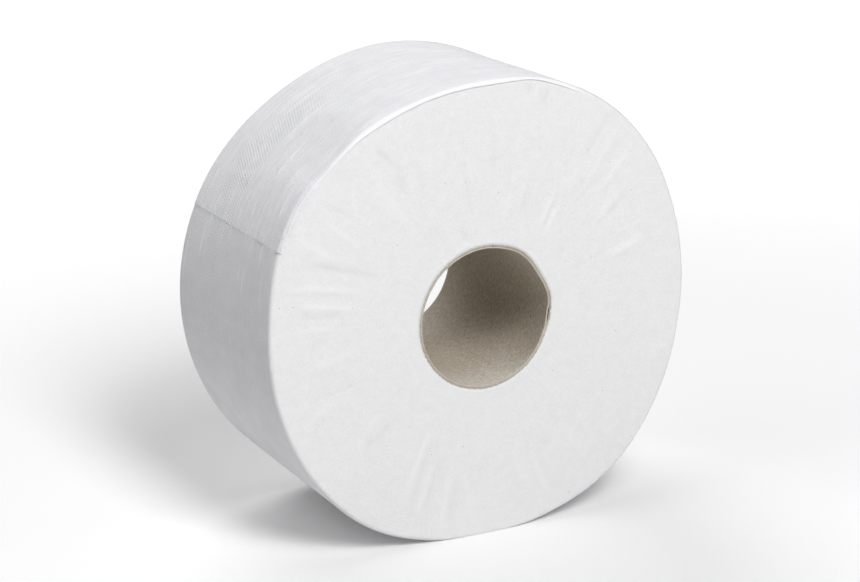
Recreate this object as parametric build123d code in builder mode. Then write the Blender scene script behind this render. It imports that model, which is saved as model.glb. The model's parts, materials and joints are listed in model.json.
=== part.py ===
from build123d import *

import os
from math import cos, radians, sin, sqrt

# A large toilet paper roll that lies on its tread. Its axis runs along Y and its front end faces -Y.
# The origin is the middle of the flat spot that it rests on.

# The roll, in millimetres
roll_across = 200.0  # diameter over the four sides that packing has pressed a little flat
roll_width = 90.0  # width of the paper strip, and of the core that is sawn off with it
side_flatter = 10.0  # how much larger the pressed sides' radius is than half the roll
corner_tighter = 12.0  # how much smaller the radius between them is
flat_width = 38.0  # flat spot under the roll's own weight
edge_round = 2.0  # soft outer edges of the two ends

# The cardboard core
core_bore = 60.0
core_wall = 1.5
core_drop = 1.0  # how far the core has settled below the middle of the roll

# The outermost turns, loose and slipped forward, from the tail clockwise over the top
tail_angle = 158.0  # end of the last sheet, in degrees from +X, counted over the top
tight_angle = 46.0  # where the loose turns meet the tread again
tuck_angle = 6.0  # how much further they run, under the tread
loose_depth = 2.4  # how deep the loose turns reach into the roll
loose_rise = 0.35  # how far they stand off the tread
loose_slip = 1.2  # how far they stand proud of the front end
lip_round = 0.8  # soft edges of the proud turns

# The perforation that the tail was torn off at
tie_pitch = 5.4
tie_width = 1.0
tie_length = 1.0

# Sizes that follow
side_radius = roll_across / 2 + side_flatter
corner_radius = roll_across / 2 - corner_tighter
axis_height = sqrt(side_radius**2 - (flat_width / 2) ** 2) - side_flatter
core_radius = core_bore / 2 + core_wall
core_height = axis_height - core_drop
back_end = Plane.XZ.offset(-roll_width / 2)


def toward(angle, reach):
    """Point at an angle about the axis and so far from it, in the end view."""
    return (reach * cos(radians(angle)), reach * sin(radians(angle)))


def pressed_outline(inset=0.0):
    """End view of the roll about its axis, or of the turns so far inside: four flatter sides and
    tighter corners between them."""
    with BuildSketch() as outline:
        Circle(side_radius)
        for side in (0, 90, 180, 270):
            with Locations(toward(side + 180, side_flatter)):
                Circle(side_radius - inset, mode=Mode.INTERSECT)
        fillet(outline.vertices(), radius=corner_radius - inset)
    return outline.sketch


# Cardboard core: a plain tube as long as the roll is wide
with BuildPart() as cardboard_core:
    with BuildSketch(back_end):
        with Locations((0, core_height)):
            Circle(core_radius)
            Circle(core_bore / 2, mode=Mode.SUBTRACT)
    extrude(amount=roll_width)

# Loose turns: a band as wide as the paper, moved outwards and forward, with a torn comb of ties along
# the tail. Its lip runs out into the front end on the right.
roll_outline = pressed_outline()
tight_outline = pressed_outline(loose_depth)
far = 2 * roll_across
tail_x, tail_z = toward(tail_angle, roll_across / 2)
tight_x = toward(tight_angle, roll_across / 2)[0]
run_out = Plane(
    origin=(0, -roll_width / 2 - loose_slip, axis_height),
    x_dir=(0, 0, 1),
    z_dir=(loose_slip, -tight_x, 0),
)
tail_face = Plane(
    origin=(tail_x, -loose_slip, axis_height + tail_z),
    x_dir=(0, 1, 0),
    z_dir=(tail_x, 0, tail_z),
)
tie_count = int((roll_width - 2 * edge_round) / tie_pitch)

with BuildPart() as loose_turns:
    with BuildSketch(back_end.offset(loose_slip)):
        with Locations((0, axis_height)):
            with Locations(toward(tight_angle + 90, loose_rise)):
                add(roll_outline)
            add(tight_outline, mode=Mode.SUBTRACT)
            Polygon(
                (0, 0),
                toward(tight_angle - tuck_angle, far),
                toward((tight_angle + tail_angle) / 2, far),
                toward(tail_angle, far),
                align=None,
                mode=Mode.INTERSECT,
            )
    extrude(amount=roll_width)
    lip = loose_turns.faces().sort_by(Axis.Y)[0]
    fillet(lip.edges().filter_by(GeomType.CIRCLE), radius=lip_round)
    split(bisect_by=run_out, keep=Keep.BOTTOM)
    with BuildSketch(tail_face):
        with GridLocations(tie_pitch, tie_pitch, tie_count, 1):
            Rectangle(tie_pitch - tie_width, 2 * tie_length)
    extrude(amount=loose_depth, both=True, mode=Mode.SUBTRACT)

# Wound paper: the pressed round body with soft edges and its flat spot, and the loose turns round it
with BuildPart() as wound_paper:
    with BuildSketch(back_end):
        with Locations((0, axis_height)):
            add(roll_outline)
    extrude(amount=roll_width)
    fillet(wound_paper.faces().filter_by(Axis.Y).edges(), radius=edge_round)
    split(bisect_by=Plane.XY, keep=Keep.TOP)
    add(loose_turns.part)
    with BuildSketch(back_end):
        with Locations((0, core_height)):
            Circle(core_radius)
    extrude(amount=roll_width, mode=Mode.SUBTRACT)

cardboard_core.part.label = "cardboard_core"
wound_paper.part.label = "wound_paper"

os.makedirs("parts", exist_ok=True)
export_step(cardboard_core.part, "parts/cardboard_core.step")
export_step(wound_paper.part, "parts/wound_paper.step")
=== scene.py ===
import json
from math import cos, pi, radians, sin

import bpy
import numpy as np
from bpy.props import FloatProperty, FloatVectorProperty, PointerProperty
from mathutils import Matrix, Vector


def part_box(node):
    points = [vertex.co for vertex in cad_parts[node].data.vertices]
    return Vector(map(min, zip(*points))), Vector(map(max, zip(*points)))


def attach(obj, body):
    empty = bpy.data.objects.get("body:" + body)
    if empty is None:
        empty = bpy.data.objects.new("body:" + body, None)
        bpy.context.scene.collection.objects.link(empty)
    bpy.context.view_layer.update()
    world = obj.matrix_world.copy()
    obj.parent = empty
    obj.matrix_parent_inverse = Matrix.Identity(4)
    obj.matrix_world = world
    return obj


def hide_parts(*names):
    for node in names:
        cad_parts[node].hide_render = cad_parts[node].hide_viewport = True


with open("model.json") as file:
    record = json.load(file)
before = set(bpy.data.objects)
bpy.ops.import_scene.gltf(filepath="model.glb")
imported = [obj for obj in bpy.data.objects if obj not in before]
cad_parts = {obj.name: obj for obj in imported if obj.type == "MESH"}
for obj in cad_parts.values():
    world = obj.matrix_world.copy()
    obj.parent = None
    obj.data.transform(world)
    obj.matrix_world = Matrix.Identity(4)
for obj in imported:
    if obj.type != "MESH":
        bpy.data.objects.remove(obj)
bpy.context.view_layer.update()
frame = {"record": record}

bl_info = {
    "name": "Toilet Paper Roll",
    "version": (1, 0, 0),
    "blender": (4, 5, 0),
    "location": "3D View > Sidebar > Paper Roll",
    "description": "A large toilet paper roll with a cardboard core, resting on its tread",
    "category": "Add Mesh",
}

# Sizes that come from the frame, in metres
MM = 0.001
_, paper_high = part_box("wound_paper")
_, core_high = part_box("cardboard_core")
core_bore = next(mount for mount in frame["record"]["mounts"] if mount["name"] == "core_bore")
ROLL_RADIUS = paper_high.x
HALF_WIDTH = core_high.y
CORE_OUTER = core_high.x
CORE_INNER = core_bore["dims"]["r_mm"] * MM
CORE_MIDDLE = (CORE_INNER + CORE_OUTER) / 2
CORE_HEIGHT = core_bore["pos_m"][2]

# Points closer than this are one point
TOUCH = MM / 1000

# Value of the attribute "white" on the loose sheet. It goes on up to 1 on its lip, whose colour is partly
# painted highlight.
SHEET_WHITE = 0.4

# Colours of small marks, with alpha; the last is painted shade deep in the core's groove, split and notch
PAPER_SPECK = (0.42, 0.38, 0.33, 1.0)
BOARD_SPECK = (0.12, 0.1, 0.08, 1.0)
GROOVE_SHADE = (0.07, 0.06, 0.05, 1.0)

# How far the tread stands outside the roll's radius at each end, as (degrees, millimetres). Packing has
# pressed the front end a little square, and the back end less.
FRONT_PRESS = (
    (0, -1.3), (23, 0.1), (36, 2.0), (52, 3.3), (74, 2.4), (90, 0.5), (108, 0.0), (124, 1.7), (131, 1.0),
    (144, 3.4), (158, 1.6), (172, -0.8), (196, -0.7), (216, 0.6), (240, 2.0), (256, 0.8), (286, 0.8),
    (309, 2.8), (334, 0.3), (350, -1.3),
)
BACK_PRESS = (
    (0, -0.2), (60, 2.3), (90, 1.3), (120, -0.4), (150, 1.2), (180, 1.8), (210, 1.9), (240, 1.4), (285, 0.8),
    (320, 0.8),
)

# The lip of the loose turns along its run, as (degrees, millimetres): how deep it reaches into the front
# end, and how far it has slipped out of it
LIP_DEPTH = (
    (50, 1.9), (62, 1.9), (70, 2.0), (77, 1.3), (86, 2.3), (108, 1.9), (121, 2.7), (131, 1.4), (139, 2.6),
    (150, 2.9), (158, 2.7),
)
LIP_SLIP = (
    (50, -0.4), (60, -0.3), (66, 0.1), (71, 0.4), (77, 0.3), (86, 0.55), (108, 0.55), (121, 0.6),
    (131, 0.35), (140, 0.4), (150, 0.4), (155, 0.3), (158, -0.1),
)

# Small folds in the loose sheet: start and end, each in degrees and in millimetres across the width, then
# how high they are, in fold heights
SHEET_FOLDS = (
    (88, -16, 97, -18, 0.5), (103, -9, 114, -10, 0.5), (110, -17, 117, -20, 0.8), (121, -20, 125, -16.5, 0.8),
    (125, -6, 143, -7, 0.6), (125, 0, 141, -1, 0.5), (126, 2, 131, 3.4, 1.3), (129, -34, 133, -32, 0.8),
    (129.5, -28.5, 133.5, -23, 0.8), (131, 32.5, 135.5, 32.5, 0.8), (133, -20, 138, -22, 0.5),
    (134.5, -13.5, 143.5, -16, 0.9), (137, 30, 144, 30, 0.6), (140, -36, 152, -35, 0.5),
    (144, 6, 147, 4, 1.0), (144.5, 12, 147, 11, 1.2), (144, -9.5, 154, -11.3, 0.8),
    (148, -1.6, 157.9, -0.5, 1.3), (155, -28.6, 157.8, -28.3, 1.5),
)

# Shallow creases in the front end: outer end and inner end, each in degrees and millimetres from the axis,
# then the half width in millimetres and how far the crease stands out, or goes in, in crease depths
FRONT_CREASES = (
    (18.5, 83, 16.5, 61, 2.1, 1.2), (9, 98, 11, 83, 1.2, 0.6), (-16, 98, -18, 87, 1, 0.6),
    (43, 93, 41, 69, 1.3, 0.8), (36, 81, 33, 59, 1.7, 0.6), (34, 85, 31, 65, 1.6, -0.6),
    (50, 96, 47, 65, 1.4, 0.8), (54, 97, 53, 75, 1.3, -0.7), (58, 61, 54, 42, 1.2, 0.8),
    (52, 57, 49, 42, 1.2, 0.7), (55, 59, 52, 43, 1, -0.6), (70, 57, 66, 43, 2, -0.8),
    (77, 99, 71, 85, 1, -1.2), (79, 93, 78, 79, 1, 0.5), (88, 71, 86, 61, 2.1, -0.6),
    (108, 44, 105, 34, 1.2, -0.8), (121, 51, 119, 39, 1.3, -0.8), (124, 92, 121, 75, 1.4, -1.1),
    (121, 79, 124, 65, 1.4, -0.9), (128, 87, 131, 61, 3.1, 0.7), (143, 91, 141, 75, 1.3, -0.8),
    (146, 89, 148, 65, 1.3, 0.7), (153, 98, 155, 71, 1.7, 0.8), (160, 95, 154, 49, 1.8, -1.0),
    (166, 97, 162, 57, 1.6, 1.0), (170, 93, 169, 57, 1.6, 1.0), (173, 91, 172, 65, 1.3, -0.6),
    (177, 93, 176, 69, 1.3, 0.6), (189, 85, 186, 61, 2.3, 0.8), (203, 97, 201, 73, 2, 0.6),
    (219, 83, 216, 59, 1.8, 0.6), (222, 81, 223, 51, 1.8, -0.7), (244, 89, 240, 49, 1.6, 1.1),
    (247, 93, 244, 55, 1.4, -0.8), (249, 93, 248, 63, 1.3, 0.8), (252, 95, 250, 59, 1.4, -1.0),
    (257, 97, 256, 65, 1.3, 0.9), (260, 98, 259, 71, 1.6, -1.0), (266, 93, 263, 67, 1.8, 0.5),
    (79, 98, 77.5, 91, 0.9, -1.4), (75.5, 98, 76.5, 92, 0.9, 1.2), (73.5, 98, 72.5, 89, 0.9, -1.3),
    (284, 83, 283, 67, 1.8, 0.5), (-31, 57, -33, 44, 2.6, -0.5),
)

# Dents in the core's front edge: middle and spread in degrees, and how far outwards in millimetres
CORE_DENTS = ((58, 13, 0.35), (33, 12, -0.55), (9, 9, 0.5), (-22, 14, -0.4), (150, 25, -0.25))


class RollSizes(bpy.types.PropertyGroup):
    """Sizes of the roll that a user would change."""

    core_drop: FloatProperty(
        name="Core drop", description="How far the core has settled below the roll's middle",
        default=0.001, unit="LENGTH",
    )
    edge_round: FloatProperty(
        name="Edge round", description="Soft outer edge of the front end", default=0.0022, unit="LENGTH",
    )
    back_round: FloatProperty(
        name="Back round", description="Crisper outer edge of the back end", default=0.00025, unit="LENGTH",
    )
    crease_depth: FloatProperty(
        name="Crease depth", description="Depth of the radial creases in the ends",
        default=0.0004, unit="LENGTH",
    )
    tail_angle: FloatProperty(
        name="Tail", description="Where the last sheet ends, from the right over the top",
        default=radians(157.3), subtype="ANGLE",
    )
    run_out_angle: FloatProperty(
        name="Run-out", description="Where the loose turns have sunk into the tread again",
        default=radians(60), subtype="ANGLE",
    )
    loose_rise: FloatProperty(
        name="Loose rise", description="How far the loose turns stand off the tread at the tail",
        default=0.00019, unit="LENGTH",
    )
    tie_pitch: FloatProperty(
        name="Tie pitch", description="Distance between the ties of the perforation",
        default=0.0054, unit="LENGTH",
    )
    tie_width: FloatProperty(
        name="Tie width", description="Width of a torn tie", default=0.0025, unit="LENGTH",
    )
    ply_gap: FloatProperty(
        name="Ply gap", description="Groove between the two plies at the core's ends",
        default=0.0002, unit="LENGTH",
    )


class RollColours(bpy.types.PropertyGroup):
    """Colours of the paper, the board and the floor."""

    tread: FloatVectorProperty(
        name="Tread", description="Outside of the wound paper", subtype="COLOR", size=3,
        default=(0.86, 0.86, 0.887), min=0, max=1,
    )
    # The lip's colour is whiter than the ends': the difference is painted highlight
    lip: FloatVectorProperty(
        name="Lip", description="Front edge of the loose turns", subtype="COLOR", size=3,
        default=(0.955, 0.955, 0.975), min=0, max=1,
    )
    end: FloatVectorProperty(
        name="End", description="Cut ends of the wound paper", subtype="COLOR", size=3,
        default=(0.885, 0.885, 0.893), min=0, max=1,
    )
    board: FloatVectorProperty(
        name="Board", description="Grey-brown board of the core", subtype="COLOR", size=3,
        default=(0.46, 0.404, 0.332), min=0, max=1,
    )
    board_edge: FloatVectorProperty(
        name="Board edge", description="Cut edge of the core", subtype="COLOR", size=3,
        default=(0.60, 0.56, 0.49), min=0, max=1,
    )
    glue: FloatVectorProperty(
        name="Glue", description="Brown glue line at the core's cut edge", subtype="COLOR", size=3,
        default=(0.42, 0.32, 0.21), min=0, max=1,
    )
    floor: FloatVectorProperty(
        name="Floor", description="Plain floor", subtype="COLOR", size=3,
        default=(0.9, 0.9, 0.9), min=0, max=1,
    )


class RollView(bpy.types.PropertyGroup):
    """Camera and lamps."""

    azimuth: FloatProperty(
        name="Azimuth", description="How far to the left of the front the camera stands",
        default=radians(27.44), subtype="ANGLE",
    )
    elevation: FloatProperty(
        name="Elevation", description="How far above the horizon the camera stands",
        default=radians(16.71), subtype="ANGLE",
    )
    distance: FloatProperty(
        name="Distance", description="From the roll's middle to the camera", default=0.998, unit="LENGTH",
    )
    aim_right: FloatProperty(
        name="Aim right", description="How far to the right of the roll's middle the camera aims",
        default=-0.0027, unit="LENGTH",
    )
    aim_up: FloatProperty(
        name="Aim up", description="How far above the roll's middle the camera aims",
        default=-0.0012, unit="LENGTH",
    )
    lens: FloatProperty(
        name="Lens", description="Focal length in millimetres", default=95.8, subtype="DISTANCE_CAMERA",
    )
    front_power: FloatProperty(
        name="Front power", description="Soft lamp at the front", default=20.5, subtype="POWER",
    )
    front_top_power: FloatProperty(
        name="Front top power", description="Soft lamp above it", default=10.0, subtype="POWER",
    )
    back_top_power: FloatProperty(
        name="Back top power", description="Large soft lamp above the back", default=19.0, subtype="POWER",
    )
    left_power: FloatProperty(
        name="Left power", description="Large soft lamp on the left", default=5.6, subtype="POWER",
    )
    fill: FloatProperty(name="Fill", description="Even light from all round", default=0.02, min=0)


# Numbers on arrays of points

def smooth_step(low, high, value):
    """0 below low, 1 above high, and a soft rise between."""
    share = np.clip((value - low) / (high - low), 0, 1)
    return share * share * (3 - 2 * share)


def through(points, angle):
    """Smooth closed curve through (degrees, value) points, read at angles in radians."""
    degrees, values = np.array(points, float).T
    degrees = np.concatenate((degrees - 360, degrees, degrees + 360))
    values = np.tile(values, 3)
    slopes = np.gradient(values, degrees)
    place = np.degrees(angle) % 360
    left = np.searchsorted(degrees, place, side="right") - 1
    gap = degrees[left + 1] - degrees[left]
    share = (place - degrees[left]) / gap
    rise = values[left + 1] - values[left]
    start = slopes[left] * gap
    end = slopes[left + 1] * gap
    square = 3 * rise - 2 * start - end
    cube = start + end - 2 * rise
    return values[left] + start * share + square * share**2 + cube * share**3


def ripple(places, seed, waves):
    """Gentle noise, mostly from -1 to 1: waves with chance phases over places given in wavelengths."""
    usual_peak = 1.5 * waves**0.5
    chance = np.random.default_rng(seed)
    total = np.zeros_like(places[0])
    for _ in range(waves):
        phase = chance.uniform(0, 2 * pi)
        for place in places:
            phase = phase + place * chance.uniform(-2 * pi, 2 * pi)
        total += np.sin(phase)
    return total / usual_peak


def outline_radius(angle, across):
    """Radius of the tread at an angle, and at a place across the width, with its gentle swells."""
    swell_length = 40 * MM
    swell_height = 0.12 * MM
    calm_edge = 6 * MM
    share = smooth_step(-HALF_WIDTH, HALF_WIDTH, across)
    press = (1 - share) * through(FRONT_PRESS, angle) + share * through(BACK_PRESS, angle)
    swell = ripple((np.cos(angle) * 2, np.sin(angle) * 2, across / swell_length), seed=3, waves=6)
    inside = smooth_step(0, calm_edge, HALF_WIDTH - np.abs(across))
    return ROLL_RADIUS + MM * press + swell_height * inside * swell


def chance_creases(seed, count):
    """Faint creases spread all round an end, as rows like those of the front end."""
    outermost = 97
    chance = np.random.default_rng(seed)
    rows = []
    for _ in range(count):
        middle = chance.uniform(0, 360)
        inner = chance.uniform(36, 72)
        outer = min(inner + chance.uniform(12, 40), outermost)
        lean = chance.uniform(-3, 3)
        strength = chance.choice((-1, 1)) * chance.uniform(0.2, 0.5)
        half_width = chance.uniform(0.9, 2.2)
        rows.append((middle + lean, outer, middle, inner, half_width, strength))
    return tuple(rows)


def creases(rows, angle, reach):
    """Height of an end's creases, in crease depths."""
    fade = 0.35
    height = np.zeros_like(angle)
    for outer_angle, outer, inner_angle, inner, half_width, strength in rows:
        along = (reach / MM - inner) / (outer - inner)
        turned = angle - np.radians(inner_angle + (outer_angle - inner_angle) * along)
        aside = np.sin(turned) * reach / MM / half_width
        faded = smooth_step(0, fade, along) * (1 - smooth_step(1 - fade, 1, along)) * (np.cos(turned) > 0)
        height += strength * faded * np.exp(-(aside**2))
    return height


def tie_rows(sizes):
    """Place across the width, length and width of each tie along the tail."""
    slip = MM
    stray = 0.25 * MM
    chance = np.random.default_rng(5)
    count = int(2 * (HALF_WIDTH - sizes.edge_round) / sizes.tie_pitch)
    rows = []
    for number in range(count):
        across = (number - (count - 1) / 2) * sizes.tie_pitch - slip + stray * chance.uniform(-1, 1)
        length = MM * chance.uniform(0.7, 1.3)
        width = sizes.tie_width * chance.uniform(0.8, 1.3)
        rows.append((across, length, width))
    return rows


def sheet_rise(sizes, angle, across):
    """How far the last sheet stands off the tread: its end lies down at the ties and lifts between them."""
    loose_from, loose_to = radians(58), radians(100)
    tie_hold = 0.9
    tie_share = 0.55
    tie_run = radians(3)
    back_lift = 0.5
    lift_from, lift_to = -25 * MM, 20 * MM
    loose = smooth_step(loose_from, loose_to, angle)
    held = np.zeros_like(across)
    for place, _, width in tie_rows(sizes):
        held = np.maximum(held, np.exp(-(((across - place) / (tie_share * width)) ** 4)))
    held *= smooth_step(sizes.tail_angle - tie_run, sizes.tail_angle, angle)
    lifted = 1 + back_lift * smooth_step(lift_from, lift_to, across)
    return sizes.loose_rise * loose * lifted * (1 - tie_hold * held)


def folds(angle, across):
    """Height of the loose sheet's small folds: steep at the front, and gentle towards the back."""
    steep, gentle = 0.8, 2.5
    starts, ends = (-0.1, 0.3), (0.7, 1.1)
    height = np.zeros_like(angle)
    for start, start_across, end, end_across, strength in SHEET_FOLDS:
        run = radians(end - start) * ROLL_RADIUS / MM
        drift = end_across - start_across
        ahead = (angle - radians(start)) * ROLL_RADIUS / MM
        beside = across / MM - start_across
        along = (ahead * run + beside * drift) / (run**2 + drift**2)
        aside = (beside * run - ahead * drift) / np.hypot(run, drift)
        faded = smooth_step(*starts, along) * (1 - smooth_step(*ends, along))
        height += strength * faded * smooth_step(-steep, 0, aside) * np.exp(-np.maximum(aside, 0) / gentle)
    return height


def core_dents(angle, across):
    """How far the core's front edge, and the paper round it, is pressed outwards or inwards."""
    dent_length = 14 * MM
    front = 1 - smooth_step(0, dent_length, across + HALF_WIDTH)
    dents = np.zeros_like(angle)
    for middle, spread, depth in CORE_DENTS:
        aside = (np.degrees(angle) - middle + 180) % 360 - 180
        dents += depth * MM * np.exp(-((aside / spread) ** 2))
    return front * dents


# Mesh work in edit mode

def draw_section(name, points):
    """New object with one closed chain of edges, extruded from point to point, left in edit mode."""
    bpy.ops.object.select_all(action="DESELECT")
    bpy.ops.mesh.primitive_plane_add(size=ROLL_RADIUS, enter_editmode=True)
    bpy.context.object.name = name
    bpy.context.object.data.name = name
    bpy.ops.mesh.select_all(action="SELECT")
    bpy.ops.mesh.merge(type="CENTER")
    bpy.ops.transform.translate(value=points[0])
    for start, end in zip(points, points[1:] + points[:1]):
        bpy.ops.mesh.extrude_vertices_move(TRANSFORM_OT_translate={"value": Vector(end) - Vector(start)})
    close_doubles()
    return bpy.context.object


def close_doubles():
    """Merges points that coincide and turns the faces outwards."""
    bpy.ops.mesh.select_all(action="SELECT")
    bpy.ops.mesh.remove_doubles(threshold=TOUCH)
    bpy.ops.mesh.normals_make_consistent(inside=False)


def spin_section(angle, steps, doublings, height):
    """Spins the section in edit mode about a lengthways axis: a part of the angle first, then copies of it
    turned on, twice as many each time."""
    part = angle / 2**doublings
    middle = (0, 0, height)
    bpy.ops.mesh.select_all(action="SELECT")
    bpy.ops.mesh.spin(steps=steps, angle=part, use_auto_merge=False, center=middle, axis=(0, -1, 0))
    for step in range(doublings):
        bpy.ops.mesh.select_all(action="SELECT")
        bpy.ops.mesh.duplicate()
        bpy.ops.transform.rotate(value=part * 2**step, orient_axis="Y", center_override=middle)
    close_doubles()


def read_points(mesh):
    """Points of a mesh as rows of an array."""
    points = np.empty(3 * len(mesh.vertices))
    mesh.vertices.foreach_get("co", points)
    return points.reshape(-1, 3)


def write_points(mesh, x, y, z):
    """Moves the points of a mesh."""
    mesh.vertices.foreach_set("co", np.stack((x, y, z), axis=1).ravel())
    mesh.update()


def face_rows(mesh, name):
    """Middles or normals of the faces as rows of an array."""
    values = np.empty(3 * len(mesh.polygons))
    mesh.polygons.foreach_get(name, values)
    return values.reshape(-1, 3)


def polar(points, height):
    """Angle about a lengthways axis, reach from it and place across the width."""
    x, y, z = points.T
    return np.arctan2(z - height, x), np.hypot(x, z - height), y


def finish_piece(piece, node, materials, marks=None, smooth=True):
    """Shading, materials, and what the piece rides on and stands for."""
    bpy.ops.object.mode_set(mode="OBJECT")
    piece.data.materials.clear()
    for material in materials:
        piece.data.materials.append(material)
    if marks is not None:
        piece.data.polygons.foreach_set("material_index", marks.astype(np.int32))
    if smooth:
        piece.data.shade_smooth()
    else:
        piece.data.shade_flat()
    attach(piece, "root")
    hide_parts(node)


# Materials

def add_node(tree, kind, inputs=None, **settings):
    """New node with its settings, and its inputs set to values or joined to sockets."""
    node = tree.nodes.new(kind)
    for name, value in settings.items():
        setattr(node, name, value)
    for key, value in (inputs or {}).items():
        if isinstance(value, bpy.types.NodeSocket):
            tree.links.new(value, node.inputs[key])
        else:
            node.inputs[key].default_value = value
    return node


def calc(tree, operation, *values):
    """Output of a Math node."""
    return add_node(tree, "ShaderNodeMath", dict(enumerate(values)), operation=operation).outputs[0]


def times(tree, *values):
    """Product of several values."""
    product = values[0]
    for value in values[1:]:
        product = calc(tree, "MULTIPLY", product, value)
    return product


def weighted(tree, *layers):
    """Sum of layers, each a value and its weight."""
    total = 0.0
    for value, weight in layers:
        total = calc(tree, "MULTIPLY_ADD", value, weight, total)
    return total


def grow(tree, share, start, end):
    """From start to end as a share goes from 0 to 1."""
    return calc(tree, "MULTIPLY_ADD", share, end - start, start)


def remap(tree, value, from_min, from_max, to_min=0.0, to_max=1.0):
    """Output of a smooth Map Range node."""
    inputs = {"Value": value, "From Min": from_min, "From Max": from_max, "To Min": to_min, "To Max": to_max}
    return add_node(tree, "ShaderNodeMapRange", inputs, interpolation_type="SMOOTHSTEP").outputs["Result"]


def blend_colour(tree, share, first, second):
    """Output of a colour Mix node."""
    node = add_node(tree, "ShaderNodeMix", data_type="RGBA")
    for key, value in (("Factor_Float", share), ("A_Color", first), ("B_Color", second)):
        socket = next(item for item in node.inputs if item.identifier == key)
        if isinstance(value, bpy.types.NodeSocket):
            tree.links.new(value, socket)
        else:
            socket.default_value = value
    return next(item for item in node.outputs if item.identifier == "Result_Color")


def joined(tree, **parts):
    """Place put together from values for X, Y and Z."""
    return add_node(tree, "ShaderNodeCombineXYZ", parts).outputs[0]


def stretched(tree, place, scale):
    """Output of a Mapping node that scales a place."""
    return add_node(tree, "ShaderNodeMapping", {"Vector": place, "Scale": scale}).outputs[0]


def noise(tree, place, detail, scale=1.0, roughness=0.5, distortion=0.0):
    """Output of a Noise Texture node."""
    inputs = {
        "Vector": place, "Scale": scale, "Detail": detail, "Roughness": roughness, "Distortion": distortion,
    }
    return add_node(tree, "ShaderNodeTexNoise", inputs).outputs["Fac"]


def attribute(tree, name):
    """Value of an attribute of the mesh."""
    return add_node(tree, "ShaderNodeAttribute", attribute_name=name).outputs["Fac"]


def shades(colour, low, high):
    """A colour made darker and lighter, as two colours with alpha."""
    return tuple((*(share * part for part in colour), 1.0) for share in (low, high))


def polar_place(tree, place, height):
    """Sockets for the direction about a lengthways axis, the angle from straight up, the reach and the
    place across the width."""
    centred = add_node(tree, "ShaderNodeMapping", {"Vector": place, "Location": (0, 0, -height)}).outputs[0]
    parts = add_node(tree, "ShaderNodeSeparateXYZ", {"Vector": centred}).outputs
    level = joined(tree, X=parts["X"], Y=parts["Z"])
    reach = add_node(tree, "ShaderNodeVectorMath", {0: level}, operation="LENGTH").outputs["Value"]
    direction = add_node(tree, "ShaderNodeVectorMath", {0: level}, operation="NORMALIZE").outputs[0]
    angle = calc(tree, "ARCTAN2", parts["X"], parts["Z"])
    return direction, angle, reach, parts["Y"]


def fanned(tree, direction, reach, around, outward):
    """Place that changes at one rate round the roll and at another outwards."""
    outwards = joined(tree, Z=calc(tree, "MULTIPLY", reach, outward))
    inputs = {0: direction, 1: (around, around, around), 2: outwards}
    return add_node(tree, "ShaderNodeVectorMath", inputs, operation="MULTIPLY_ADD").outputs[0]


def seen_rays(tree):
    """1 for what the camera sees, straight, in a gloss or through glass, and 0 for light on the roll."""
    rays = add_node(tree, "ShaderNodeLightPath").outputs
    mirrored = calc(tree, "MAXIMUM", rays["Is Glossy Ray"], rays["Is Transmission Ray"])
    return calc(tree, "MAXIMUM", rays["Is Camera Ray"], mirrored)


def once(blocks, build, *values):
    """Material or node group named like the function that builds it, made when it is first asked for."""
    if build.__name__ not in blocks:
        build(build.__name__, *values)
    return blocks[build.__name__]


def new_group(name, inputs, outputs):
    """New shader node group with float sockets, and a vector socket named Place. Returns the tree, the
    sockets that are given and those to make."""
    tree = bpy.data.node_groups.new(name, "ShaderNodeTree")
    tree.interface.new_socket("Place", in_out="INPUT", socket_type="NodeSocketVector")
    for socket in inputs:
        tree.interface.new_socket(socket, in_out="INPUT", socket_type="NodeSocketFloat")
    for socket in outputs:
        tree.interface.new_socket(socket, in_out="OUTPUT", socket_type="NodeSocketFloat")
    return tree, tree.nodes.new("NodeGroupInput").outputs, tree.nodes.new("NodeGroupOutput").inputs


def use_group(tree, build, place, **values):
    """Outputs of a node group placed in a material with its own values."""
    group = once(bpy.data.node_groups, build)
    return add_node(tree, "ShaderNodeGroup", {"Place": place, **values}, node_tree=group).outputs


def felted_fibres(name):
    """Node group of felted fibres: a fine uneven grain with softer patches."""
    tree, given, made = new_group(name, ("Grain", "Patch"), ("Height", "Shade"))
    grain = noise(tree, given["Place"], detail=4.0, scale=given["Grain"], roughness=0.6)
    patch = noise(tree, given["Place"], detail=3.0, scale=given["Patch"])
    tree.links.new(grain, made["Height"])
    tree.links.new(weighted(tree, (grain, 0.4), (patch, 0.6)), made["Shade"])


def specks(name):
    """Node group of specks: a few small dots of uneven size."""
    least_size = 0.35
    tree, given, made = new_group(name, ("Spacing", "Size", "Share"), ("Mask",))
    scattered = {"Vector": given["Place"], "Scale": given["Spacing"]}
    cells = add_node(tree, "ShaderNodeTexVoronoi", scattered).outputs
    chance = add_node(tree, "ShaderNodeSeparateColor", {"Color": cells["Color"]}).outputs
    kept = calc(tree, "LESS_THAN", chance["Red"], given["Share"])
    reach = times(tree, given["Size"], calc(tree, "ADD", chance["Green"], least_size))
    dot = calc(tree, "LESS_THAN", cells["Distance"], reach)
    tree.links.new(times(tree, dot, kept), made["Mask"])


def new_material(name):
    """New node material with no nodes but the object place. Returns the material, its tree and that place."""
    material = bpy.data.materials.new(name)
    material.use_nodes = True
    material.node_tree.nodes.clear()
    place = add_node(material.node_tree, "ShaderNodeTexCoord").outputs["Object"]
    return material, material.node_tree, place


def finish_material(tree, colour, height, depth, roughness, specular, sheen=0.0):
    """Principled shader with a bump, joined to the output."""
    bump = add_node(tree, "ShaderNodeBump", {"Height": height, "Distance": depth, "Strength": 1.0})
    shader = add_node(
        tree, "ShaderNodeBsdfPrincipled",
        {"Base Color": colour, "Roughness": roughness, "Specular IOR Level": specular,
         "Sheen Weight": sheen, "Normal": bump.outputs["Normal"]},
    )
    add_node(tree, "ShaderNodeOutputMaterial", {"Surface": shader.outputs["BSDF"]})


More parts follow.
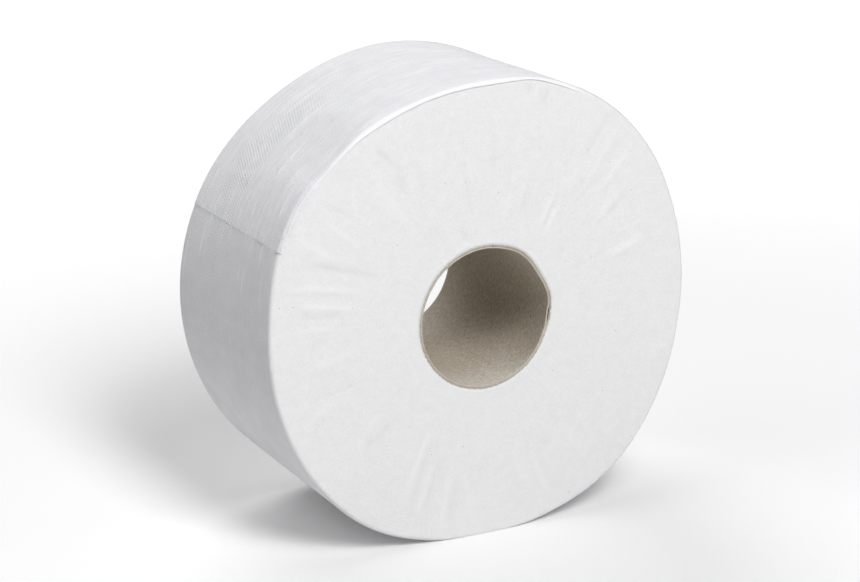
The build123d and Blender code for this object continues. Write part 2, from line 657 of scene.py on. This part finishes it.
def knurl_marks(tree, angle, around, across, clumps, wear):
    """Slanting rows of short dashes, strongest in one band of the width, and fainter over the top and low
    down on the left."""
    dash_pitch = 1.46 * MM
    row_pitch = 1.85 * MM
    slant = -0.4
    stray = 14 * MM
    outside_band = 0.22
    rows = times(tree, calc(tree, "MULTIPLY_ADD", across, slant, around), 2 * pi / dash_pitch)
    breaks = calc(tree, "COSINE", times(tree, across, 2 * pi / row_pitch))
    wander = calc(tree, "MULTIPLY_ADD", calc(tree, "SUBTRACT", clumps, 0.5), stray, across)
    band = times(
        tree, remap(tree, wander, 1 * MM, 9 * MM), remap(tree, wander, 21 * MM, 29 * MM, 1.0, 0.0),
    )
    return times(
        tree, calc(tree, "COSINE", rows), calc(tree, "MULTIPLY_ADD", breaks, 0.45, 0.55),
        grow(tree, band, outside_band, 1.0), remap(tree, wear, 0.36, 0.54, 0.35, 1.0),
        remap(tree, angle, radians(-50), radians(-20), 1.0, 0.25),
        remap(tree, angle, radians(-94), radians(-72), 0.08, 1.0),
    )


def tissue_tread(name, colours, axis):
    """Outside of the paper: long streaks round the roll, fine fibres, and a band of knurl marks where the
    plies are pressed together, with painted shade from the knurl marks and painted highlights on the wrinkles
    in its colour. A scale gives the rate round the roll and across its width, per metre."""
    streak_scale = (26, 480, 1)
    thread_scale = (62, 1050, 1)
    clump_scale = (42, 70, 1)
    crepe_stretch = (1.0, 0.5, 1.0)
    _, tree, place = new_material(name)
    _, angle, _, across = polar_place(tree, place, axis)
    around = times(tree, angle, ROLL_RADIUS)
    flat_place = joined(tree, X=around, Y=across)
    crepe_place = stretched(tree, flat_place, crepe_stretch)
    crepe = use_group(tree, felted_fibres, crepe_place, Grain=2000, Patch=130)
    streaks = noise(tree, stretched(tree, flat_place, streak_scale), detail=2.0, distortion=0.5)
    threads = noise(tree, stretched(tree, flat_place, thread_scale), detail=2.0, distortion=0.3)
    clumps = noise(tree, stretched(tree, flat_place, clump_scale), detail=1.0)
    wrinkles_and_highlights = times(tree, remap(tree, streaks, 0.55, 0.68), remap(tree, clumps, 0.42, 0.6))
    knurl = knurl_marks(tree, angle, around, across, clumps, crepe["Shade"])

    # The loose turns are whiter, and their lip is smoother too. The lip's colour is partly painted highlight.
    white = attribute(tree, "white")
    loose = remap(tree, white, 0.0, SHEET_WHITE)
    lip = remap(tree, white, SHEET_WHITE, 1.0)
    height = weighted(
        tree, (crepe["Height"], 1.6), (streaks, grow(tree, loose, 0.3, 0.45)),
        (threads, grow(tree, loose, 0.5, 0.85)), (wrinkles_and_highlights, 0.45), (knurl, 0.5),
    )
    height = times(tree, height, grow(tree, lip, 1.0, 0.2))
    below_tail = times(
        tree, remap(tree, angle, radians(-88), radians(-70)),
        remap(tree, angle, radians(-66), radians(-60), 1.0, 0.0),
    )
    # Painted highlights: the wrinkles lighten the colour as folds catching light would, most just below the
    # tail and on the loose sheet
    wrinkle_highlight = calc(tree, "MULTIPLY_ADD", below_tail, 0.9, grow(tree, loose, 0.1, 0.4))
    # The knurl marks' share of the colour is painted shade and highlight of their dashes
    shade = weighted(
        tree, (crepe["Shade"], 0.5), (calc(tree, "SUBTRACT", threads, 0.5), grow(tree, loose, 0.3, 0.7)),
        (clumps, 0.12), (knurl, 0.36), (wrinkles_and_highlights, wrinkle_highlight), (loose, 0.18),
    )
    colour = blend_colour(tree, remap(tree, shade, -0.1, 0.85), *shades(colours.tread, 0.87, 1.11))
    whiteness_and_highlights = calc(tree, "MAXIMUM", lip, times(tree, wrinkles_and_highlights, loose))
    colour = blend_colour(tree, whiteness_and_highlights, colour, (*colours.lip, 1.0))
    finish_material(tree, colour, height, depth=0.3 * MM, roughness=0.92, specular=0.2, sheen=0.08)


def tissue_end(name, colours, axis):
    """Cut ends of the paper: felted fibres, faint turns and radial shading, a few dark specks, and painted
    shade and highlight along the creases.
    """
    _, tree, place = new_material(name)
    direction, _, reach, _ = polar_place(tree, place, axis)
    turns = noise(tree, fanned(tree, direction, reach, around=11, outward=900), detail=2.0)
    rays = noise(tree, fanned(tree, direction, reach, around=24.2, outward=22), detail=3.0)
    fibres = use_group(tree, felted_fibres, place, Grain=1700, Patch=220)
    dots = use_group(tree, specks, place, Spacing=190, Size=0.05, Share=0.4)
    height = weighted(tree, (fibres["Height"], 1.0), (turns, 0.4), (rays, 0.7))
    # Painted shade and highlight: darker in the creases that go in, lighter on those that stand out
    shade = weighted(
        tree, (fibres["Height"], 0.6), (fibres["Shade"], 0.4), (attribute(tree, "crease"), 0.14),
    )
    colour = blend_colour(tree, remap(tree, shade, 0.3, 0.7), *shades(colours.end, 0.95, 1.03))
    colour = blend_colour(tree, dots["Mask"], colour, PAPER_SPECK)
    finish_material(tree, colour, height, depth=0.25 * MM, roughness=0.95, specular=0.15, sheen=0.08)


def core_board(name, colours):
    """Inside of the core: slanting grey and brown fibres with dark specks, and painted light: the board is
    paler and greyer low down near the ends, where light comes in."""
    fibre_slant = radians(38)
    fibre_stretch = (1, 4.5, 1)
    lit_length = 34 * MM
    lit_from, lit_to = radians(115), radians(165)
    _, tree, place = new_material(name)
    _, angle, _, across = polar_place(tree, place, CORE_HEIGHT)
    flat_place = joined(tree, X=times(tree, angle, CORE_INNER), Y=across)
    slant_place = add_node(
        tree, "ShaderNodeMapping",
        {"Vector": flat_place, "Rotation": (0, 0, fibre_slant), "Scale": fibre_stretch},
    ).outputs[0]
    slivers = noise(tree, slant_place, detail=4.0, scale=420, roughness=0.65)
    fibres = use_group(tree, felted_fibres, place, Grain=1300, Patch=90)
    dots = use_group(tree, specks, place, Spacing=260, Size=0.07, Share=0.7)
    height = weighted(tree, (slivers, 0.9), (fibres["Height"], 0.6))
    shade = remap(tree, weighted(tree, (slivers, 1.0), (fibres["Height"], 0.5)), 0.5, 1.0)
    colour = blend_colour(tree, shade, *shades(colours.board, 0.66, 1.34))
    # Painted light: paler, greyer board low down near both ends, where light comes in through the openings
    from_end = calc(tree, "SUBTRACT", HALF_WIDTH, calc(tree, "ABSOLUTE", across))
    low = remap(tree, calc(tree, "ABSOLUTE", angle), lit_from, lit_to)
    painted_light = times(tree, remap(tree, from_end, 0.0, lit_length, 1.0, 0.0), low)
    lit_board = blend_colour(tree, shade, *shades(colours.board_edge, 0.8, 1.5))
    colour = blend_colour(tree, painted_light, colour, lit_board)
    colour = blend_colour(tree, dots["Mask"], colour, BOARD_SPECK)
    finish_material(tree, colour, height, depth=0.2 * MM, roughness=0.85, specular=0.25)


def core_rim(name, colours):
    """Cut ends of the core: pale fibres with a brown line of glue at the outside and between the plies, and
    painted shade deep in the groove, the split and the notch.
    """
    uneven = 0.9 * MM
    _, tree, place = new_material(name)
    _, _, reach, across = polar_place(tree, place, CORE_HEIGHT)
    fibres = use_group(tree, felted_fibres, place, Grain=2200, Patch=300)
    reach = calc(tree, "MULTIPLY_ADD", calc(tree, "SUBTRACT", fibres["Shade"], 0.5), uneven, reach)
    outside = remap(tree, reach, CORE_OUTER - 0.5 * MM, CORE_OUTER - 0.15 * MM, 0.0, 0.75)
    from_middle = calc(tree, "ABSOLUTE", calc(tree, "SUBTRACT", reach, CORE_MIDDLE))
    between = remap(tree, from_middle, 0.05 * MM, 0.2 * MM, 0.4, 0.0)
    shade = remap(tree, fibres["Height"], 0.3, 0.7)
    colour = blend_colour(tree, shade, *shades(colours.board_edge, 0.85, 1.1))
    colour = blend_colour(tree, calc(tree, "MAXIMUM", outside, between), colour, (*colours.glue, 1.0))
    from_end = calc(tree, "SUBTRACT", HALF_WIDTH, calc(tree, "ABSOLUTE", across))
    # Painted shade: near black wherever the cut edge lies deep, in the groove, the split and the notch
    colour = blend_colour(tree, remap(tree, from_end, 0.55 * MM, 0.9 * MM), colour, GROOVE_SHADE)
    finish_material(tree, colour, fibres["Height"], depth=0.2 * MM, roughness=0.9, specular=0.2)


class ROLL_OT_wound_paper(bpy.types.Operator):
    """Wind the paper: spin its section, press the outline, crease the ends and settle it on its flat spot"""

    bl_idname = "paper_roll.wound_paper"
    bl_label = "Wound Paper"

    core_lap = 0.2 * MM
    face_rings = 44
    tread_rings = 30
    edge_rings = 7
    end_normal = 0.7
    calm_core = 3 * MM
    dish_length = 90 * MM
    dish_depth = 0.25 * MM
    soft_flat = 0.5 * MM

    def execute(self, context):
        sizes = context.scene.roll_sizes
        colours = context.scene.roll_colours
        axis = CORE_HEIGHT + sizes.core_drop
        hole = CORE_OUTER - self.core_lap
        front, back = sizes.edge_round, sizes.back_round
        face = np.linspace(hole, ROLL_RADIUS - front, self.face_rings)
        turn = np.linspace(0, pi / 2, self.edge_rings + 1)[1:]
        section = [(reach, -HALF_WIDTH) for reach in face]
        for angle in turn:
            section.append((ROLL_RADIUS - front * (1 - sin(angle)), -HALF_WIDTH + front * (1 - cos(angle))))
        for across in np.linspace(-HALF_WIDTH + front, HALF_WIDTH - back, self.tread_rings)[1:]:
            section.append((ROLL_RADIUS, across))
        for angle in turn:
            section.append((ROLL_RADIUS - back * (1 - cos(angle)), HALF_WIDTH - back * (1 - sin(angle))))
        section += [(reach, HALF_WIDTH) for reach in face[::-2]]
        section.append((hole, HALF_WIDTH))
        piece = draw_section("roll_body", [(reach, across, axis) for reach, across in dict.fromkeys(section)])
        spin_section(2 * pi, steps=90, doublings=3, height=axis)
        bpy.ops.object.mode_set(mode="OBJECT")
        self.shape(piece.data, sizes, axis)
        on_end = np.abs(face_rows(piece.data, "normal")[:, 1]) > self.end_normal
        materials = [once(bpy.data.materials, build, colours, axis) for build in (tissue_tread, tissue_end)]
        finish_piece(piece, "wound_paper", materials, on_end)
        return {"FINISHED"}

    def shape(self, mesh, sizes, axis):
        """Presses the round roll to its outline, with creased ends and a flat spot."""
        angle, reach, across = polar(read_points(mesh), axis)
        outer = smooth_step(CORE_OUTER, ROLL_RADIUS, reach)
        front = 1 - smooth_step(0, sizes.edge_round, across + HALF_WIDTH)
        back = 1 - smooth_step(0, sizes.edge_round, HALF_WIDTH - across)
        radius = reach + outer * (outline_radius(angle, across) - ROLL_RADIUS)
        radius += (1 - outer) * core_dents(angle, across)
        clear = smooth_step(CORE_OUTER, CORE_OUTER + self.calm_core, reach)
        dish_place = np.cos(angle) * reach / self.dish_length, np.sin(angle) * reach / self.dish_length
        marks = np.zeros_like(angle)
        for share, rows, seed, out in (
            (front, FRONT_CREASES + chance_creases(seed=11, count=26), 21, -1),
            (back, chance_creases(seed=12, count=60), 22, 1),
        ):
            crease = share * clear * creases(rows, angle, reach)
            dish = share * clear * ripple(dish_place, seed, waves=5)
            across = across + out * (sizes.crease_depth * crease + self.dish_depth * dish)
            marks += crease
        # The creases' heights, kept for the painted shade and highlight along them in the end's colour
        mesh.attributes.new("crease", "FLOAT", "POINT").data.foreach_set("value", marks)
        z = axis + radius * np.sin(angle) - sizes.core_drop * (1 - outer)
        z = (z + np.hypot(z, self.soft_flat)) / 2
        write_points(mesh, radius * np.cos(angle), across, z)


class ROLL_OT_loose_turns(bpy.types.Operator):
    """Lay on the loose outer turns: a sheet over the tread whose front edge has slipped out as a lip"""

    bl_idname = "paper_roll.loose_turns"
    bl_label = "Loose Turns"

    # The section: a thin sheet with a thicker bead along its front, whose front face is the lip
    lip_depth = 3.0 * MM
    lip_slip = 1.0 * MM
    bead_length = 1.5 * MM
    crest = 0.86
    roundness = 1.35
    sheet_thick = 0.5 * MM
    sheet_rings = 150
    lip_rings = 12
    under_rings = 6
    rear_gap = 0.3 * MM
    rear_edge = 0.05 * MM
    bead_step = 0.01 * MM

    # Under the crest: share of the lip's depth, and how far back from its front
    underside = ((0.94, 0.05 * MM), (0.98, 0.15 * MM), (1.0, 0.35 * MM))

    # Grooves between the turns that show in the lip: place in its depth, and where each one starts
    grooves = ((0.85 * MM, radians(131)), (1.75 * MM, radians(138)))
    groove_half = 0.14 * MM
    groove_spread = 0.7 * groove_half
    groove_deep = 0.4 * MM
    groove_run = radians(8)

    # Whiteness and painted highlight: between which shares of its depth the lip gains them and loses them
    # again,
    #     leaving painted shade under the crest; where the lip's painted highlight is weaker; and how soon the
    #     sheet gains its whiteness after the run-out
    gains, loses = (0, 0.25), (0.9, 0.99)
    dull_from, dull_to = radians(126), radians(142)
    dull = 0.6
    whiter_run = radians(30)

    # How the sheet lies
    fold_height = 0.42 * MM
    slip_unevenness = 0.12
    sunk_deep = 0.5 * MM
    sunk_to = radians(70)
    corner_lift = 0.25 * MM
    corner_run = radians(4)
    corner_width = 4 * MM

    def execute(self, context):
        sizes = context.scene.roll_sizes
        axis = CORE_HEIGHT + sizes.core_drop
        rear = HALF_WIDTH - self.rear_gap
        bead = -HALF_WIDTH + self.bead_length
        front = -HALF_WIDTH - self.lip_slip
        round_depth = self.crest * self.lip_depth
        insets = set(round_depth * (1 - np.cos(np.linspace(0, pi / 2, self.lip_rings)[1:])))
        for groove, _ in self.grooves:
            insets |= {groove - self.groove_half, groove, groove + self.groove_half}
        section = [(0.0, rear)]
        section += [(0.0, across) for across in np.linspace(rear - self.rear_edge, bead, self.sheet_rings)]
        for inset in sorted(insets):
            lean = min(1, inset / round_depth)
            lean = (1 - (1 - lean) ** self.roundness) ** (1 / self.roundness)
            section.append((inset, bead + (front - bead) * lean))
        section += [(share * self.lip_depth, front + back) for share, back in self.underside]
        section += [(self.lip_depth, -HALF_WIDTH), (self.lip_depth, bead - self.bead_step)]
        section += [(self.sheet_thick, across) for across in np.linspace(bead + MM, rear, self.under_rings)]
        points = [(ROLL_RADIUS - inset, across, axis) for inset, across in section]
        piece = draw_section("loose_turns", points)
        spin_section(sizes.tail_angle - sizes.run_out_angle, steps=56, doublings=2, height=axis)
        bpy.ops.mesh.select_all(action="DESELECT")
        bpy.ops.mesh.select_non_manifold()
        bpy.ops.mesh.mark_sharp()
        bpy.ops.mesh.edge_face_add()
        close_doubles()
        bpy.ops.object.mode_set(mode="OBJECT")
        self.shape(piece.data, sizes, axis)
        tread = once(bpy.data.materials, tissue_tread, context.scene.roll_colours, axis)
        finish_piece(piece, "wound_paper", [tread])
        return {"FINISHED"}

    def shape(self, mesh, sizes, axis):
        """Lays the band on the tread, with its lip thinned, pinched and slipped along its run."""
        angle, reach, across = polar(read_points(mesh), axis)
        angle = angle - angle.min() + sizes.run_out_angle
        inset = ROLL_RADIUS - reach
        bead = across < -HALF_WIDTH + self.bead_length
        self.whiten_and_highlight(mesh, sizes, angle, inset / self.lip_depth, bead)
        for groove, start in self.grooves:
            near = np.exp(-(((inset - groove) / self.groove_spread) ** 2)) * bead
            across = across + near * smooth_step(start, start + self.groove_run, angle) * self.groove_deep
        slip = MM * through(LIP_SLIP, angle) / self.lip_slip
        slip += self.slip_unevenness * ripple((angle * 9,), seed=21, waves=4)
        proud = across < -HALF_WIDTH
        across = np.where(proud, -HALF_WIDTH + (across + HALF_WIDTH) * slip, across)
        depth = MM * through(LIP_DEPTH, angle) / self.lip_depth
        inset = np.where(bead, inset * depth, inset)
        sunk = self.sunk_deep * (1 - smooth_step(sizes.run_out_angle, self.sunk_to, angle))
        corner = smooth_step(sizes.tail_angle - self.corner_run, sizes.tail_angle, angle)
        corner *= 1 - smooth_step(-HALF_WIDTH, -HALF_WIDTH + self.corner_width, across)
        rise = sheet_rise(sizes, angle, across) + self.corner_lift * corner
        rise += np.where(bead, 0, self.fold_height * folds(angle, across))
        radius = outline_radius(angle, across) + rise - sunk - inset
        write_points(mesh, radius * np.cos(angle), across, axis + radius * np.sin(angle))

    def whiten_and_highlight(self, mesh, sizes, angle, depth, bead):
        """Marks how white the sheet and its lip are, by the share of the lip's depth. The lip's whiteness is
        partly painted highlight, and it stops under the crest to leave painted shade there.
        """
        white = bead * smooth_step(*self.gains, depth) * (1 - smooth_step(*self.loses, depth))
        white *= 1 - self.dull * smooth_step(self.dull_from, self.dull_to, angle)
        sheet = smooth_step(sizes.run_out_angle, sizes.run_out_angle + self.whiter_run, angle)
        white = np.maximum(white, SHEET_WHITE * sheet)
        mesh.attributes.new("white", "FLOAT", "POINT").data.foreach_set("value", white)


class ROLL_OT_tail_ties(bpy.types.Operator):
    """Tear off the tail: a row of short torn ties along the perforation at the end of the last sheet"""

    bl_idname = "paper_roll.tail_ties"
    bl_label = "Tail Ties"

    thick = 0.15 * MM
    proud = 0.03 * MM
    tip_length = 0.5
    tip_shape = (1, 0.45, 0.5)
    reach_out = 0.4

    def execute(self, context):
        sizes = context.scene.roll_sizes
        axis = CORE_HEIGHT + sizes.core_drop
        ties = [self.tie(sizes, axis, *row) for row in tie_rows(sizes)]
        for tie in ties:
            tie.select_set(True)
        context.view_layer.objects.active = ties[0]
        bpy.ops.object.join()
        ties[0].name = "tail_ties"
        tread = once(bpy.data.materials, tissue_tread, context.scene.roll_colours, axis)
        finish_piece(ties[0], "wound_paper", [tread], smooth=False)
        return {"FINISHED"}

    def tie(self, sizes, axis, across, length, width):
        """One tie: a thin plate from the top of the sheet down to the tread, with a torn, narrower tip."""
        bpy.ops.object.select_all(action="DESELECT")
        bpy.ops.mesh.primitive_cube_add(size=1, enter_editmode=True)
        piece = bpy.context.object
        bpy.ops.mesh.select_all(action="SELECT")
        bpy.ops.transform.resize(value=(length, width, self.thick))
        bpy.ops.object.mode_set(mode="OBJECT")
        for face in piece.data.polygons:
            face.select = face.normal.x > 0.9
        for edge in piece.data.edges:
            edge.select = all(piece.data.vertices[index].co.x > 0 for index in edge.vertices)
        for point in piece.data.vertices:
            point.select = point.co.x > 0
        bpy.ops.object.mode_set(mode="EDIT")
        bpy.ops.mesh.extrude_region_move(TRANSFORM_OT_translate={"value": (self.tip_length * length, 0, 0)})
        bpy.ops.transform.resize(value=self.tip_shape)
        bpy.ops.object.mode_set(mode="OBJECT")
        angle = sizes.tail_angle
        places = np.array([angle]), np.array([across])
        rise = float(sheet_rise(sizes, *places)[0])
        radius = float(outline_radius(*places)[0]) + rise / 2 - self.thick / 2 + self.proud
        outward = Vector((cos(angle), 0, sin(angle)))
        onward = Vector((-sin(angle), 0, cos(angle)))
        downward = (onward - rise / length * outward).normalized()
        across_way = Vector((0, 1, 0))
        turn = Matrix((downward, across_way, downward.cross(across_way))).transposed().to_4x4()
        middle = Vector((0, across, axis)) + radius * outward + self.reach_out * length * onward
        piece.data.transform(Matrix.Translation(middle) @ turn)
        return piece


class ROLL_OT_core_tube(bpy.types.Operator):
    """Roll the core: a tube of two board plies, dented at the right, with a seam notch and a split"""

    bl_idname = "paper_roll.core_tube"
    bl_label = "Core Tube"

    # The cut ends: chamfered edges, and a groove between the plies
    chamfer = 0.15 * MM
    chamfer_length = 0.3 * MM
    groove_shoulder = 0.1 * MM
    groove_deep = 0.5 * MM
    rim_length = 0.55 * MM
    mouth = 2.5 * MM
    inner_rings, inner_clear = 26, 2 * MM
    outer_rings, outer_clear = 5, 4 * MM

    # The split at the front: middle and half width in degrees, how far each ply has moved, and how deep it is
    split_middle, split_half = -5, 7
    split_out, split_in, split_between = 0.3 * MM, -0.5 * MM, -0.1 * MM
    split_deep = 3.0 * MM
    ply_edge = 0.02 * MM

    # The seam's notch, in degrees, and the sawn edge's roughness
    notch_middle, notch_half = 84, 0.9
    notch_deep = 1.3 * MM
    rough, rough_fine = 0.12 * MM, 0.06 * MM
    bulge, bulge_length = 0.08 * MM, 30 * MM

    def execute(self, context):
        gap = context.scene.roll_sizes.ply_gap / 2
        shoulder = HALF_WIDTH - self.groove_shoulder
        edge = HALF_WIDTH - self.chamfer_length
        rim = [
            (CORE_INNER, edge), (CORE_INNER + self.chamfer, HALF_WIDTH), (CORE_MIDDLE - 2 * gap, HALF_WIDTH),
            (CORE_MIDDLE - gap, shoulder), (CORE_MIDDLE, HALF_WIDTH - self.groove_deep),
            (CORE_MIDDLE + gap, shoulder), (CORE_MIDDLE + 2 * gap, HALF_WIDTH),
            (CORE_OUTER - self.chamfer, HALF_WIDTH), (CORE_OUTER, edge),
        ]
        inside = HALF_WIDTH - self.inner_clear
        outside = HALF_WIDTH - self.outer_clear
        section = [(CORE_INNER, across) for across in np.linspace(-inside, inside, self.inner_rings)]
        section += rim
        section += [(CORE_OUTER, across) for across in np.linspace(outside, -outside, self.outer_rings)]
        section += [(reach, -across) for reach, across in rim[::-1]]
        piece = draw_section("core_tube", [(reach, across, CORE_HEIGHT) for reach, across in section])
        spin_section(2 * pi, steps=68, doublings=3, height=CORE_HEIGHT)
        bpy.ops.object.mode_set(mode="OBJECT")
        on_rim = np.abs(face_rows(piece.data, "center")[:, 1]) > HALF_WIDTH - self.rim_length
        self.shape(piece.data)
        colours = context.scene.roll_colours
        materials = [once(bpy.data.materials, build, colours) for build in (core_board, core_rim)]
        finish_piece(piece, "cardboard_core", materials, on_rim)
        return {"FINISHED"}

    def shape(self, mesh):
        """Dents the front edge, opens the split between the plies, and cuts the seam's notch."""
        angle, reach, across = polar(read_points(mesh), CORE_HEIGHT)
        degrees = np.degrees(angle)
        mouth = 1 - smooth_step(0, self.mouth, across + HALF_WIDTH)
        split = np.exp(-(((degrees - self.split_middle) / self.split_half) ** 4)) * mouth
        outer_ply = reach > CORE_MIDDLE + self.ply_edge
        inner_ply = reach < CORE_MIDDLE - self.ply_edge
        opened = np.where(outer_ply, self.split_out, np.where(inner_ply, self.split_in, self.split_between))
        radius = reach + core_dents(angle, across) + split * opened
        in_groove = np.abs(reach - CORE_MIDDLE) < self.ply_edge
        across = across + np.where(in_groove, split * self.split_deep, 0)
        rough = self.rough * ripple((angle * 14,), seed=31, waves=8)
        rough += self.rough_fine * ripple((angle * 40,), seed=32, waves=8)
        notch = np.exp(-(((degrees - self.notch_middle) / self.notch_half) ** 2)) * (reach > CORE_MIDDLE)
        across = across + mouth * (rough + self.notch_deep * notch)
        radius += self.bulge * ripple((angle * 3, across / self.bulge_length), seed=33, waves=5)
        write_points(mesh, radius * np.cos(angle), across, CORE_HEIGHT + radius * np.sin(angle))


class ROLL_OT_stage(bpy.types.Operator):
    """Set the stage: a plain pale floor, soft light from above the front, and the camera"""

    bl_idname = "paper_roll.stage"
    bl_label = "Stage"

    floor_size = 12

    # The floor's own glow, as the camera sees it: weaker round the roll, where it keeps the shadow
    glow_near, glow_far = 0.1, 1.4
    glow_low, glow_high = 0.1, 0.75

    def execute(self, context):
        self.floor(context.scene.roll_colours)
        self.light(context.scene)
        self.camera(context.scene)
        context.scene.view_settings.view_transform = "Standard"
        return {"FINISHED"}

    def floor(self, colours):
        """A wide plain floor under the roll."""
        bpy.ops.object.select_all(action="DESELECT")
        bpy.ops.mesh.primitive_plane_add(size=self.floor_size, location=(0, 0, 0))
        floor = bpy.context.object
        floor.name = "floor"
        material, tree, place = new_material("floor_card")
        reach = add_node(tree, "ShaderNodeVectorMath", {0: place}, operation="LENGTH").outputs["Value"]
        away = remap(tree, reach, self.glow_near, self.glow_far, self.glow_low, self.glow_high)
        shader = add_node(
            tree, "ShaderNodeBsdfPrincipled",
            {"Base Color": (*colours.floor, 1), "Roughness": 1.0, "Specular IOR Level": 0.0,
             "Emission Color": (1, 1, 1, 1), "Emission Strength": times(tree, seen_rays(tree), away)},
        )
        add_node(tree, "ShaderNodeOutputMaterial", {"Surface": shader.outputs["BSDF"]})
        floor.data.materials.append(material)

    def light(self, scene):
        """Four soft lamps, two at the front, one above the back and one on the left, and a weak fill."""
        view = scene.roll_view
        for name, place, across, power in (
            ("front_lamp", (0.0, -1.49, 1.44), 0.7, view.front_power),
            ("front_top_lamp", (0.0, -1.18, 1.72), 0.7, view.front_top_power),
            ("back_top_lamp", (0.0, 1.34, 1.59), 1.4, view.back_top_power),
            ("left_lamp", (-1.34, 0.0, 1.59), 1.4, view.left_power),
        ):
            bpy.ops.object.light_add(type="AREA", location=place)
            lamp = bpy.context.object
            lamp.name = name
            lamp.data.shape = "DISK"
            lamp.data.size = across
            lamp.data.energy = power
            aim = Vector((0, 0, CORE_HEIGHT)) - lamp.location
            lamp.rotation_euler = aim.to_track_quat("-Z", "Y").to_euler()
        world = bpy.data.worlds.new("studio")
        scene.world = world
        world.use_nodes = True
        tree = world.node_tree
        tree.nodes.clear()
        strength = grow(tree, seen_rays(tree), view.fill, 1.0)
        shade = add_node(tree, "ShaderNodeBackground", {"Color": (1, 1, 1, 1), "Strength": strength})
        add_node(tree, "ShaderNodeOutputWorld", {"Surface": shade.outputs[0]})

    def camera(self, scene):
        """The camera, to the left of the front and a little above it."""
        view = scene.roll_view
        level = cos(view.elevation)
        back = Vector((-sin(view.azimuth) * level, -cos(view.azimuth) * level, sin(view.elevation)))
        right = Vector((cos(view.azimuth), -sin(view.azimuth), 0))
        up = back.cross(right)
        middle = Vector((0, 0, CORE_HEIGHT + scene.roll_sizes.core_drop))
        aim = middle + view.aim_right * right + view.aim_up * up
        bpy.ops.object.camera_add(location=aim + view.distance * back)
        camera = bpy.context.object
        camera.rotation_euler = (-back).to_track_quat("-Z", "Y").to_euler()
        camera.data.lens = view.lens
        camera.data.sensor_width = 36
        camera.data.clip_start = 0.05
        scene.camera = camera


class ROLL_PT_panel(bpy.types.Panel):
    """The roll's sizes, colours and pieces"""

    bl_idname = "ROLL_PT_panel"
    bl_label = "Paper Roll"
    bl_space_type = "VIEW_3D"
    bl_region_type = "UI"
    bl_category = "Paper Roll"

    def draw(self, context):
        for group in (context.scene.roll_sizes, context.scene.roll_colours, context.scene.roll_view):
            box = self.layout.box()
            for name in group.__annotations__:
                box.prop(group, name)
        for operator in OPERATORS:
            self.layout.operator(operator.bl_idname)


GROUPS = (RollSizes, RollColours, RollView)
OPERATORS = (ROLL_OT_wound_paper, ROLL_OT_loose_turns, ROLL_OT_tail_ties, ROLL_OT_core_tube, ROLL_OT_stage)


def register():
    """Makes the properties, operators and panel known."""
    for item in (*GROUPS, *OPERATORS, ROLL_PT_panel):
        bpy.utils.register_class(item)
    bpy.types.Scene.roll_sizes = PointerProperty(type=RollSizes)
    bpy.types.Scene.roll_colours = PointerProperty(type=RollColours)
    bpy.types.Scene.roll_view = PointerProperty(type=RollView)


def unregister():
    """Takes them away again."""
    del bpy.types.Scene.roll_view
    del bpy.types.Scene.roll_colours
    del bpy.types.Scene.roll_sizes
    for item in reversed((*GROUPS, *OPERATORS, ROLL_PT_panel)):
        bpy.utils.unregister_class(item)


def main():
    """Builds every piece."""
    register()
    bpy.ops.paper_roll.wound_paper()
    bpy.ops.paper_roll.loose_turns()
    bpy.ops.paper_roll.tail_ties()
    bpy.ops.paper_roll.core_tube()
    bpy.ops.paper_roll.stage()


if __name__ == "__main__":
    main()
